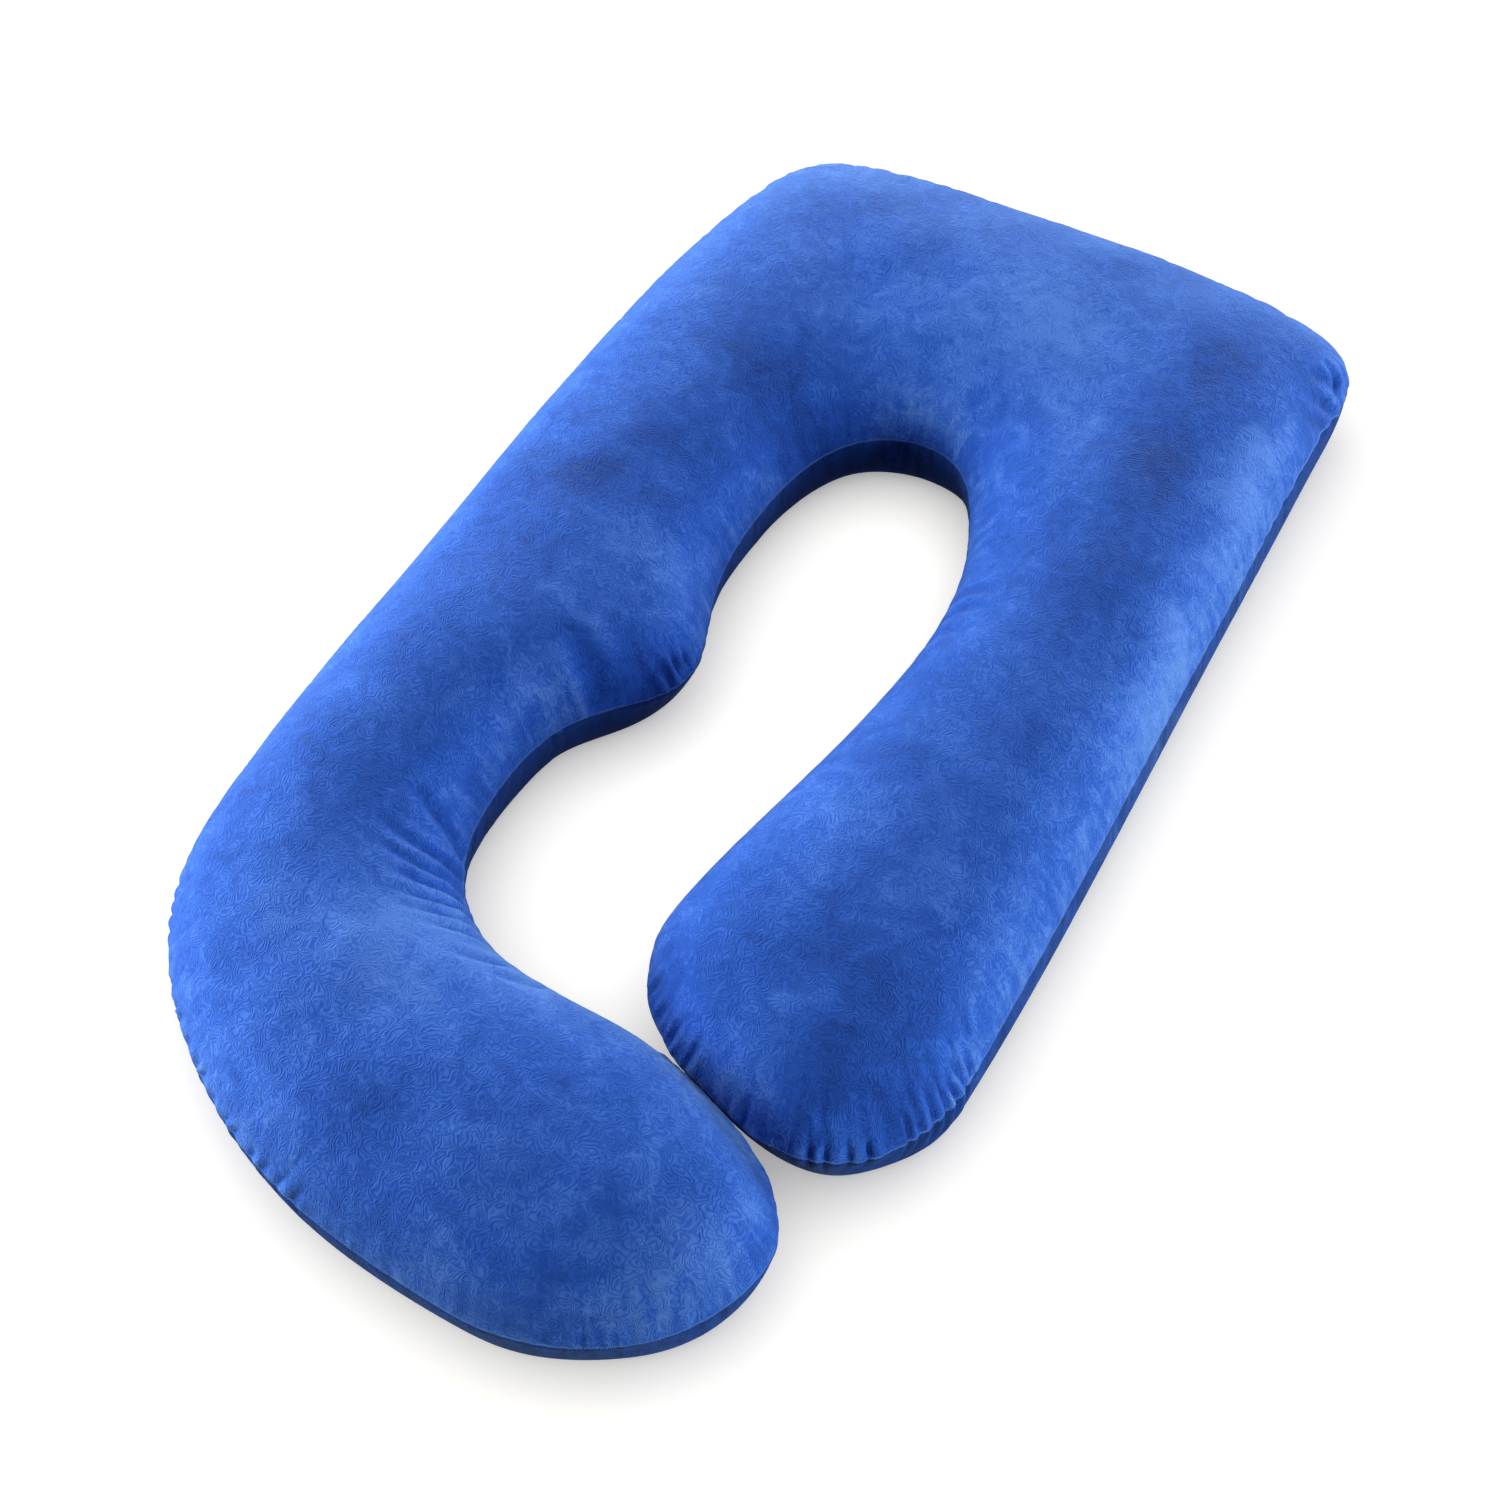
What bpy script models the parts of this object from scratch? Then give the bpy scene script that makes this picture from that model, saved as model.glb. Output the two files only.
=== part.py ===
"""Body pillow: a filled cloth tube bent into a U, one arm ending in a hook.

Metres, +Z up. The pillow lies on its back on the floor plane z = 0, its head
end towards +Y, with the origin under the middle of its footprint. Two velvet
panels meet in one seam that runs round the whole edge at half height. The top
panel rises to a soft crown. The bottom panel falls almost straight from the
seam and is pressed flat where it rests.
"""

from math import cos, radians, sin
from typing import NamedTuple

import bmesh
import bpy
from mathutils import Vector

COLLECTION_NAME = "body_pillow"
NODE_NAME = "pillow"

# Heights and depths of the cage. The smoothed surface stays inside them.
SEAM_HEIGHT = 0.085
SHOULDER_INSET = 0.020
SHOULDER_RISE = 0.76
HEEL_DEPTH = 0.020
BELLY_DEPTH = 0.012

SMOOTHING_LEVELS = 2
MERGE_DISTANCE = 0.00001
FLOOR_SNAP = 0.0006

VELVET_COLOUR = (0.035, 0.120, 0.520, 1.0)
VELVET_ROUGHNESS = 0.85


class Section(NamedTuple):
    """One cut across the tube.

    It has a seam point on the outside of the U and one on the inside, the
    crown's height above them, and how far the wall beneath each draws in. A
    wall that bulges past its seam has a negative value.
    """

    place: str
    outer_x: float
    outer_y: float
    inner_x: float
    inner_y: float
    crown: float
    outer_draw: float
    inner_draw: float


class RoundEnd(NamedTuple):
    """A rounded end: its tip, how lean each side of its seam is, and its walls.

    A side of leanness 1 is a quarter of an ellipse, and a greater value takes
    more from its corner. The wall draws in by tip_draw beneath the tip, and by
    outer_draw and inner_draw on either side of it. Round rest_angle the end
    rests against the other one, which presses its seam in by rest_depth.
    """

    tip_x: float
    tip_y: float
    outer_leanness: float
    inner_leanness: float
    outer_draw: float
    tip_draw: float
    inner_draw: float
    rest_angle: float
    rest_depth: float


# From the straight arm's end, round the head, down the long arm to the hook.
SECTIONS = (
    Section("arm end", 0.377, -0.305, 0.062, -0.305, 0.090, -0.004, 0.024),
    Section("arm low", 0.379, -0.200, 0.081, -0.200, 0.092, -0.011, 0.016),
    Section("arm middle", 0.380, -0.085, 0.106, -0.090, 0.090, -0.010, 0.014),
    Section("arm high", 0.380, 0.035, 0.123, 0.015, 0.088, -0.010, 0.014),
    Section("arm neck", 0.380, 0.165, 0.131, 0.105, 0.088, -0.009, 0.014),
    Section("arch right foot", 0.381, 0.300, 0.123, 0.190, 0.090, -0.008, 0.012),
    Section("arch right", 0.383, 0.435, 0.103, 0.250, 0.092, -0.007, 0.008),
    Section("right cheek", 0.383, 0.560, 0.081, 0.297, 0.092, -0.006, 0.006),
    Section("right corner", 0.383, 0.649, 0.061, 0.321, 0.090, -0.004, 0.006),
    Section("right brow", 0.339, 0.685, 0.046, 0.332, 0.091, 0.004, 0.006),
    Section("head right", 0.255, 0.705, 0.030, 0.338, 0.092, 0.012, 0.006),
    Section("head centre right", 0.135, 0.715, 0.014, 0.340, 0.094, 0.012, 0.005),
    Section("head centre", 0.000, 0.716, -0.004, 0.339, 0.095, 0.012, 0.006),
    Section("head centre left", -0.140, 0.711, -0.026, 0.332, 0.094, 0.012, 0.006),
    Section("head left", -0.265, 0.697, -0.047, 0.319, 0.092, 0.012, 0.005),
    Section("left corner", -0.328, 0.640, -0.067, 0.298, 0.090, 0.012, 0.006),
    Section("left cheek", -0.352, 0.540, -0.084, 0.264, 0.090, 0.012, 0.006),
    Section("arch left", -0.370, 0.425, -0.096, 0.215, 0.090, 0.012, 0.008),
    Section("arch left foot", -0.376, 0.300, -0.100, 0.150, 0.090, 0.012, 0.010),
    Section("back", -0.380, 0.180, -0.096, 0.085, 0.090, 0.012, 0.016),
    Section("bump top", -0.380, 0.070, -0.079, 0.022, 0.090, 0.012, 0.024),
    Section("bump", -0.379, -0.040, -0.056, -0.040, 0.090, 0.012, 0.038),
    Section("bump foot", -0.379, -0.135, -0.072, -0.094, 0.090, 0.012, 0.045),
    Section("waist", -0.379, -0.225, -0.114, -0.138, 0.089, 0.012, 0.050),
    Section("bend start", -0.375, -0.315, -0.143, -0.190, 0.088, 0.012, 0.012),
    Section("bend", -0.369, -0.405, -0.150, -0.255, 0.088, 0.010, 0.014),
    Section("bend middle", -0.353, -0.497, -0.143, -0.322, 0.088, 0.008, 0.014),
    Section("bend end", -0.300, -0.578, -0.116, -0.374, 0.090, 0.008, 0.014),
    Section("hook start", -0.216, -0.644, -0.067, -0.413, 0.092, 0.008, 0.016),
    Section("hook", -0.115, -0.693, 0.002, -0.427, 0.094, 0.006, 0.016),
    Section("hook middle", -0.010, -0.713, 0.060, -0.429, 0.095, 0.002, 0.016),
    Section("hook end", 0.085, -0.720, 0.105, -0.431, 0.095, 0.010, 0.018),
)
ARM_END = RoundEnd(0.250, -0.467, 0.90, 0.94, 0.018, 0.038, 0.030, 117.0, 0.012)
HOOK_END = RoundEnd(0.302, -0.560, 1.05, 1.07, 0.004, 0.010, 0.018, 153.0, 0.006)

# Degrees round an end, from the outer seam point of the section it closes.
END_ANGLES = (12.0, 24.0, 36.0, 52.0, 70.0, 90.0, 110.0, 128.0, 144.0, 156.0, 168.0)
TIP_FIRST = 3
TIP_LAST = 7

# How far round an end the other one presses on it, in degrees.
REST_WIDTH = 20.0

# Fullness of the crown on the rows across a rounded end.
END_CROWN = 0.95


class Row(NamedTuple):
    """One row of the cage: five points over the top and three beneath."""

    top: list[Vector]
    bottom: list[Vector]


def clear_objects() -> None:
    """Remove every object from the open file."""
    for item in list(bpy.data.objects):
        bpy.data.objects.remove(item, do_unlink=True)


def at_seam(x: float, y: float) -> Vector:
    """Return a point at the height of the seam."""
    return Vector((x, y, SEAM_HEIGHT))


def at_height(point: Vector, height: float) -> Vector:
    """Return the point at another height."""
    return Vector((point.x, point.y, height))


def towards(point: Vector, target: Vector, distance: float) -> Vector:
    """Return the point moved towards a target by a distance."""
    return point + (target - point).normalized() * distance


def outer_seam(section: Section) -> Vector:
    """Return a section's seam point on the outside of the U."""
    return at_seam(section.outer_x, section.outer_y)


def inner_seam(section: Section) -> Vector:
    """Return a section's seam point on the inside of the U."""
    return at_seam(section.inner_x, section.inner_y)


def end_seam(section: Section, end: RoundEnd) -> list[Vector]:
    """Return the seam points round an end, from the outer side to the inner.

    Each side is a lean quarter ellipse that runs from the section's seam point
    to the tip. Both turn about the point of the section that faces the tip.
    """
    outer = outer_seam(section)
    inner = inner_seam(section)
    tip = at_seam(end.tip_x, end.tip_y)
    across = (inner - outer).normalized()
    centre = outer + across * (tip - outer).dot(across)
    points = []
    for degrees in END_ANGLES:
        start, leanness = outer, end.outer_leanness
        if degrees > 90.0:
            start, leanness = inner, end.inner_leanness
        width_share = abs(cos(radians(degrees))) ** leanness
        reach_share = sin(radians(degrees)) ** leanness
        point = centre + (start - centre) * width_share + (tip - centre) * reach_share
        nearness = max(0.0, 1.0 - abs(degrees - end.rest_angle) / REST_WIDTH)
        press = end.rest_depth * sin(radians(90.0 * nearness))
        points.append(towards(point, centre, press))
    return points


def seam_ring() -> list[Vector]:
    """Return the seam's points in order round the whole pillow.

    The ring runs along the outer side, round the hook's end, back along the
    inner side and round the arm's end.
    """
    ring = [outer_seam(section) for section in SECTIONS]
    ring += end_seam(SECTIONS[-1], HOOK_END)
    ring += [inner_seam(section) for section in reversed(SECTIONS)]
    ring += reversed(end_seam(SECTIONS[0], ARM_END))
    return ring


def hold_outline(ring: list[Vector]) -> list[Vector]:
    """Push a ring's bends outwards, so that its smoothed curve meets them."""
    held = []
    for index, point in enumerate(ring):
        before = ring[index - 1]
        after = ring[(index + 1) % len(ring)]
        held.append(point - (before - 2 * point + after) / 6)
    return held


def cross_row(outer: Vector, inner: Vector, section: Section, fullness: float = 1.0) -> Row:
    """Return the cage's row between two seam points of a section or an end."""
    centre = (outer + inner) / 2
    crown = fullness * section.crown
    shoulder_height = SEAM_HEIGHT + SHOULDER_RISE * crown
    crown_height = SEAM_HEIGHT + (3 - SHOULDER_RISE) / 2 * crown
    top = [
        outer,
        at_height(towards(outer, inner, SHOULDER_INSET), shoulder_height),
        at_height(centre, crown_height),
        at_height(towards(inner, outer, SHOULDER_INSET), shoulder_height),
        inner,
    ]
    bottom = [
        at_height(towards(outer, inner, section.outer_draw), -HEEL_DEPTH),
        at_height(centre, -BELLY_DEPTH),
        at_height(towards(inner, outer, section.inner_draw), -HEEL_DEPTH),
    ]
    return Row(top, bottom)


def shoulder_row(ends: list[Vector], section: Section, end: RoundEnd) -> Row:
    """Return the row that follows a tip at a small distance inside it.

    Its outer two points face the middle of the first and the last two tips.
    """
    outer, inner = ends[TIP_FIRST - 1], ends[TIP_LAST + 1]
    tips = ends[TIP_FIRST:TIP_LAST + 1]
    faced = ((tips[0] + tips[1]) / 2, tips[2], (tips[3] + tips[4]) / 2)
    centre = (outer + inner) / 2
    shoulder_height = SEAM_HEIGHT + SHOULDER_RISE * section.crown
    top = [outer]
    bottom = []
    for point, draw in zip(faced, (end.outer_draw, end.tip_draw, end.inner_draw)):
        top.append(at_height(towards(point, centre, SHOULDER_INSET), shoulder_height))
        bottom.append(at_height(towards(point, centre, draw), -HEEL_DEPTH))
    top.append(inner)
    return Row(top, bottom)


def end_rows(ends: list[Vector], section: Section, end: RoundEnd) -> list[Row]:
    """Return a rounded end's rows, from the section that it closes to its tip."""
    tips = ends[TIP_FIRST:TIP_LAST + 1]
    return [
        cross_row(ends[0], ends[-1], section, END_CROWN),
        cross_row(ends[1], ends[-2], section, END_CROWN),
        shoulder_row(ends, section, end),
        Row(tips, tips[1:-1]),
    ]


def cage_rows() -> list[Row]:
    """Return every row of the cage, from the arm's tip to the hook's tip."""
    ring = hold_outline(seam_ring())
    side = len(SECTIONS)
    turn = len(END_ANGLES)
    outer = ring[:side]
    hook_end = ring[side:side + turn]
    inner = ring[side + turn:2 * side + turn][::-1]
    arm_end = ring[2 * side + turn:][::-1]
    rows = end_rows(arm_end, SECTIONS[0], ARM_END)[::-1]
    for section, outer_point, inner_point in zip(SECTIONS, outer, inner):
        rows.append(cross_row(outer_point, inner_point, section))
    rows += end_rows(hook_end, SECTIONS[-1], HOOK_END)
    return rows


def loft_cage(rows: list[Row]) -> bpy.types.Mesh:
    """Join the rows into one closed cage that is creased along the seam.

    The top and the bottom sheet share the seam's points. The first and the
    last row lie on the seam, so both sheets end in the same points there.
    """
    shell = bmesh.new()
    top = [[shell.verts.new(point) for point in row.top] for row in rows]
    bottom = [top[0]]
    for row, over in zip(rows[1:-1], top[1:-1]):
        beneath = [shell.verts.new(point) for point in row.bottom]
        bottom.append([over[0], *beneath, over[-1]])
    bottom.append(top[-1])
    for sheet in (top, bottom):
        for near, far in zip(sheet, sheet[1:]):
            for column in range(len(near) - 1):
                shell.faces.new((near[column], near[column + 1], far[column + 1], far[column]))
    bmesh.ops.recalc_face_normals(shell, faces=shell.faces)
    crease_seam(shell)
    mesh = bpy.data.meshes.new(NODE_NAME)
    shell.to_mesh(mesh)
    shell.free()
    return mesh


def crease_seam(shell: bmesh.types.BMesh) -> None:
    """Crease each edge whose two ends lie at the height of the seam."""
    crease = shell.edges.layers.float.new("crease_edge")
    for edge in shell.edges:
        if all(abs(vertex.co.z - SEAM_HEIGHT) < MERGE_DISTANCE for vertex in edge.verts):
            edge[crease] = 1.0


def smoothed(mesh: bpy.types.Mesh) -> bpy.types.Mesh:
    """Return the mesh as Subdivision Surface smooths it."""
    cage = bpy.data.objects.new("cage", mesh)
    bpy.context.scene.collection.objects.link(cage)
    smoothing = cage.modifiers.new("smoothing", "SUBSURF")
    smoothing.levels = SMOOTHING_LEVELS
    smoothing.render_levels = SMOOTHING_LEVELS
    evaluated = cage.evaluated_get(bpy.context.evaluated_depsgraph_get())
    result = bpy.data.meshes.new_from_object(evaluated)
    bpy.data.objects.remove(cage, do_unlink=True)
    return result


def press_flat(mesh: bpy.types.Mesh) -> None:
    """Cut the underside off at the floor plane and close it with a flat face."""
    shell = bmesh.new()
    shell.from_mesh(mesh)
    for vertex in shell.verts:
        if abs(vertex.co.z) < FLOOR_SNAP:
            vertex.co.z = 0.0
    cut = bmesh.ops.bisect_plane(
        shell,
        geom=[*shell.verts, *shell.edges, *shell.faces],
        dist=MERGE_DISTANCE,
        plane_co=(0.0, 0.0, 0.0),
        plane_no=(0.0, 0.0, -1.0),
        clear_outer=True,
    )
    rim = [item for item in cut["geom_cut"] if isinstance(item, bmesh.types.BMEdge)]
    bmesh.ops.triangle_fill(shell, use_beauty=True, edges=rim)
    bmesh.ops.recalc_face_normals(shell, faces=shell.faces)
    shell.to_mesh(mesh)
    shell.free()


def centre_footprint(mesh: bpy.types.Mesh) -> None:
    """Move the mesh so that the middle of its footprint is the origin."""
    for axis in (0, 1):
        places = [vertex.co[axis] for vertex in mesh.vertices]
        middle = (min(places) + max(places)) / 2
        for vertex in mesh.vertices:
            vertex.co[axis] -= middle


def velvet() -> bpy.types.Material:
    """Return the pillow's plain blue velvet."""
    material = bpy.data.materials.new("velvet")
    material.use_nodes = True
    shader = material.node_tree.nodes["Principled BSDF"]
    shader.inputs["Base Color"].default_value = VELVET_COLOUR
    shader.inputs["Roughness"].default_value = VELVET_ROUGHNESS
    shader.inputs["Metallic"].default_value = 0.0
    return material


def build_pillow() -> bpy.types.Object:
    """Build the pillow and return its object."""
    mesh = smoothed(loft_cage(cage_rows()))
    press_flat(mesh)
    centre_footprint(mesh)
    mesh.name = NODE_NAME
    mesh.shade_smooth()
    mesh.materials.append(velvet())
    collection = bpy.data.collections.new(COLLECTION_NAME)
    bpy.context.scene.collection.children.link(collection)
    pillow = bpy.data.objects.new(NODE_NAME, mesh)
    collection.objects.link(pillow)
    return pillow


clear_objects()
build_pillow()
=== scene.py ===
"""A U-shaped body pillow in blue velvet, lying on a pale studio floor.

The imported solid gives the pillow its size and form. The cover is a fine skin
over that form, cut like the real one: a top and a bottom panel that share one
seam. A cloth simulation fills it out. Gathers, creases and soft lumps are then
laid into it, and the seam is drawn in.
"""

import logging
import math
import random
from dataclasses import dataclass
from enum import Enum
from typing import Any, NamedTuple

import bmesh
import bpy
import numpy as np
from bpy.types import Material, Mesh, Node, NodeSocket, Object, World
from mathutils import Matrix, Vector, geometry, noise
from mathutils.bvhtree import BVHTree
from mathutils.kdtree import KDTree


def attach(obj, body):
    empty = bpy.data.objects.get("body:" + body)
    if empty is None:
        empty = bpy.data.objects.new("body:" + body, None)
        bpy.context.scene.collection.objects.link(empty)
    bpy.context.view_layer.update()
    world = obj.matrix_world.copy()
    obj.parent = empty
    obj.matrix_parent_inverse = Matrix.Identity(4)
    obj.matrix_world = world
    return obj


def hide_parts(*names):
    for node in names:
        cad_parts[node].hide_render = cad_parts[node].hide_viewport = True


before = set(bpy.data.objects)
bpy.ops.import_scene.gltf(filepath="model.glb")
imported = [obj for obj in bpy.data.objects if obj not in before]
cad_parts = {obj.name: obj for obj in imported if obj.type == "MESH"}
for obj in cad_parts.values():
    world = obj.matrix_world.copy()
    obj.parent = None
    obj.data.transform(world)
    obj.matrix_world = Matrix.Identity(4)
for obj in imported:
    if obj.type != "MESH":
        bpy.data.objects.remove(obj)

LOG = logging.getLogger("body_pillow")
MM = 1000.0  # millimetres in a metre

Array = np.ndarray
Rows = tuple[tuple[float, ...], ...]
Values = dict[str | int, Any]
Pair = tuple[float, float]
Place = tuple[float, float, float]
Colour = tuple[float, float, float, float]
WHITE: Colour = (1.0, 1.0, 1.0, 1.0)


class Side(Enum):
    """The two panels of the cover, by the way they lie from the seam."""

    TOP = 1.0
    BOTTOM = -1.0


class GatherRun(NamedTuple):
    """A run of gathers along the seam, from its first place to its last.

    The places follow the seam with the pillow on the left. Places, pitch,
    height and reach are in millimetres. Lean is how far a fold slides along
    the seam as it rises. Under is the share of the height that shows beneath
    the seam, and unevenness is how much the folds differ from each other.
    """

    first_x: float
    first_y: float
    last_x: float
    last_y: float
    pitch: float
    height: float
    reach: float
    lean: float
    under: float
    unevenness: float


class Crease(NamedTuple):
    """A soft trough in the top panel, from its deep end to where it fades.

    Bend is how far its middle swings out to the left, width is half its
    breadth and depth is how far it sinks, all in millimetres.
    """

    start_x: float
    start_y: float
    end_x: float
    end_y: float
    bend: float
    width: float
    depth: float


GATHERS: Rows = (
    # The outer side, from the straight arm round the head.
    (379, -262, 381, 560, 36, 1.7, 46, 0.26, 0.6, 0.6),
    (381, 575, 318, 700, 19, 3, 46, 0, 0.5, 0.4),
    (300, 703, -260, 700, 32, 0.4, 36, 0.1, 0.5, 0.45),
    (-275, 696, -360, 560, 24, 0.6, 36, 0, 0.5, 0.4),
    (-366, 520, -381, -230, 30, 0.5, 36, 0.2, 0.5, 0.45),
    # The hook.
    (-381, -250, -318, -550, 20, 3.4, 36, 0.45, 0.5, 0.45),
    (-311, -560, -60, -719, 21, 6.2, 34, 0.45, 0.6, 0.45),
    (-45, -722, 80, -718, 23, 1.4, 24, 0.1, 0.6, 0.45),
    (95, -718, 265, -500, 19, 1.2, 26, 0, 0.6, 0.4),
    (205, -465, 0, -425, 26, 0.9, 30, 0, 0.5, 0.4),
    # The bend and the bump.
    (-12, -422, -141, -332, 18, 0.8, 40, 0, 0.6, 0.4),
    (-144, -300, -112, -148, 19, 1.4, 30, 0, 0.7, 0.4),
    (-107, -140, -62, -62, 15, 2.4, 32, 0, 0.7, 0.4), (-61, -50, -85, 30, 17, 1.6, 28, 0, 0.7, 0.4),
    # The arch between the arms.
    (-92, 60, -20, 330, 28, 1, 36, 0, 0.6, 0.4), (10, 340, 134, 140, 26, 1.3, 40, 0, 0.6, 0.4),
    # The straight arm.
    (136, 90, 60, -270, 30, 1, 36, 0.1, 0.5, 0.45), (48, -304, 95, -398, 22, 0.9, 30, 0, 0.5, 0.4),
    (99, -401, 225, -464, 17, 1.1, 30, 0, 0.5, 0.4),
    (262, -455, 348, -421, 18.5, 7.5, 36, 0, 0.8, 0.35),
    (350, -419, 374, -322, 14, 9.8, 58, 0, 0.8, 0.3),
    (374, -318, 379, -268, 20, 2.2, 40, 0.1, 0.6, 0.4),
    (242, -462, 262, -455, 17, 3, 34, 0, 0.8, 0.35),
)

CREASES: Rows = (
    # The fan at the bend.
    (-130, -347, -216, -332, -2, 6, 4.2), (-120, -365, -217, -374, 11, 6, 4.4),
    (-110, -377, -200, -398, 11, 5.5, 4.2), (-107, -391, -173, -414, 11, 4.6, 4),
    (-98, -404, -160, -438, 7, 4.8, 4.4), (-83, -413, -143, -451, 4, 4.8, 4.2),
    (-63, -424, -121, -459, -1, 4.8, 3.8), (-26, -441, -86, -463, 6, 4.6, 3),
    (14, -445, -41, -460, 5, 5, 2.4),
    # The bump: its trough and pinches.
    (-114, -126, -181, -94, 8, 13, 4.2), (-67, -62, -80, -63, 1, 4, 4.4),
    (-65, -53, -73, -44, 1, 4, 3.6), (-70, -74, -86, -84, -1, 4, 3.6), (-80, -91, -94, -99, 0, 4, 2.8),
    # The straight arm's end.
    (372, -335, 345, -337, 2, 4.5, 5.6), (374, -324, 356, -320, 1, 4.5, 4.2),
    (369, -347, 348, -355, 1, 4.5, 4.2),
    # The head's right corner.
    (374, 618, 343, 610, 2, 5, 5), (377, 614, 331, 569, 3, 6, 5), (379, 590, 354, 551, 1, 5, 3.6),
    (379, 560, 355, 523, 1, 5, 2.8),
    # The straight arm's neck.
    (134, 140, 196, 128, 3, 6, 2.4), (136, 112, 196, 109, 3, 6, 2.6), (134, 82, 184, 75, 2, 6, 1.8),
    # The side that the hook touches.
    (105, -406, 119, -399, 1, 4, 2.2), (125, -419, 141, -412, 1, 4, 2.2),
    (152, -430, 168, -423, 1, 4, 1.8), (217, -459, 228, -444, 1, 4.5, 1.3),
    (85, -387, 98, -380, 1, 4, 2.2),
    # The hook's foot.
    (200, -697, 197, -676, 0, 2.6, 2.6),
)


class NapAndLightMark(NamedTuple):
    """A patch that looks darker or paler: partly the pile's lie, partly painted light and shade.

    Heading is the way it runs, in degrees from the x axis. Length and width
    are half its size in millimetres. Tone is how much paler its middle is.
    """

    x: float
    y: float
    heading: float
    length: float
    width: float
    tone: float


# Patches that are partly the pile's lie and partly painted light and shade.
NAP_AND_LIGHT_MARKS: Rows = (
    (-225, -184, 60, 100, 60, -0.15), (-204, 159, 60, 100, 60, -0.12), (117, 467, 0, 100, 70, 0.15),
    (-201, -492, 0, 80, 60, 0.08), (358, 60, -89, 110, 30, 0.17), (262, 508, -70, 62, 40, -0.24),
    (56, 512, 5, 98, 67, 0.25), (-80, 421, 8, 79, 64, 0.1), (-152, 292, -21, 103, 33, -0.3),
    (-89, 273, 50, 50, 25, -0.3), (-243, 66, 1, 56, 30, -0.45), (-242, -41, 66, 70, 48, -0.25),
    (-310, -38, -87, 176, 40, -0.15), (-141, 0, -20, 83, 55, 0.15), (-138, -102, -19, 50, 15, 0.2),
    (-81, -88, 41, 55, 29, -0.4), (-151, -172, 1, 52, 36, 0.2), (-222, -259, 70, 79, 36, 0.1),
    (-329, -374, 85, 73, 89, -0.15), (-93, -455, 12, 74, 45, 0.4), (-97, -521, -5, 72, 48, 0.15),
    (20, -462, -20, 78, 22, 0.2), (78, -605, -22, 30, 21, 0.15), (240, -598, 58, 60, 38, 0.25),
    (136, -672, -1, 53, 25, -0.1), (67, -690, -50, 32, 14, 0.15), (342, 408, -84, 100, 22, 0.36),
    (360, 185, -88, 125, 27, 0.32), (361, -156, -88, 180, 47, 0.06), (244, 357, -33, 52, 39, -0.3),
    (258, 202, 85, 100, 37, -0.15), (191, -96, -25, 50, 22, -0.2), (277, -343, -45, 82, 53, -0.28),
    (318, -403, 45, 58, 25, -0.25), (201, -446, -19, 50, 30, 0.2), (117, -387, -42, 46, 33, -0.15),
    (152, -189, -27, 78, 42, 0.1), (129, 392, -46, 61, 16, 0.1), (-268, 570, 10, 142, 69, -0.1),
    (-311, -502, -69, 91, 44, -0.1), (356, 559, 22, 48, 33, -0.2), (8, 343, 0, 45, 38, 0.25),
    (262, 390, -88, 150, 34, -0.16), (167, 378, -87, 55, 14, 0.18),
)


def eased(values: Array, start: Any = 0.0, width: Any = 1.0) -> Array:
    """Return 0 below a band, 1 above it and an eased step within it."""
    held = np.clip((values - start) / width, 0.0, 1.0)
    return held * held * (3.0 - 2.0 * held)


def row_lengths(rows: Array) -> Array:
    """Return each row's length."""
    return np.linalg.norm(rows, axis=-1)


def summed(steps: Any) -> Array:
    """Return the sums of the first steps, from none of them to all."""
    return np.concatenate(([0.0], np.cumsum(steps)))


def closed_smooth(values: Array, rounds: int) -> Array:
    """Return the values of a closed line, smoothed along it.

    Args:
        values: One value or point for each place on the line.
        rounds: How often each is averaged with its neighbours.

    Returns:
        The smoothed values.
    """
    for _ in range(rounds):
        values = (np.roll(values, 1, axis=0) + 2.0 * values + np.roll(values, -1, axis=0)) / 4.0
    return values


def select_only(piece: Object) -> None:
    """Select one object and make it the active one.

    Args:
        piece: The object.
    """
    bpy.ops.object.select_all(action="DESELECT")
    piece.select_set(True)
    bpy.context.view_layer.objects.active = piece


def fetched(items: Any, key: str, width: int) -> Array:
    """Read a property of a mesh's items.

    Args:
        items: The vertices, or whatever has the property.
        key: The property's name.
        width: How many numbers each item has.

    Returns:
        One row of numbers for each item.
    """
    flat = np.empty(len(items) * width, dtype=np.float32)
    items.foreach_get(key, flat)
    return flat.reshape(-1, width).astype(float)


def mesh_points(mesh: Mesh) -> Array:
    """Return a mesh's vertices."""
    return fetched(mesh.vertices, "co", 3)


def mesh_normals(mesh: Mesh) -> Array:
    """Return a mesh's vertex normals."""
    return fetched(mesh.vertex_normals, "vector", 3)


def move_points(mesh: Mesh, points: Array) -> None:
    """Give a mesh's vertices new places."""
    mesh.vertices.foreach_set("co", points.astype(np.float32).ravel())
    mesh.update()


def search_tree(points: Array) -> KDTree:
    """Make a tree for finding the nearest of some points.

    Args:
        points: Their places.

    Returns:
        The balanced tree.
    """
    tree = KDTree(len(points))
    for index, point in enumerate(points):
        tree.insert(point, index)
    tree.balance()
    return tree


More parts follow.
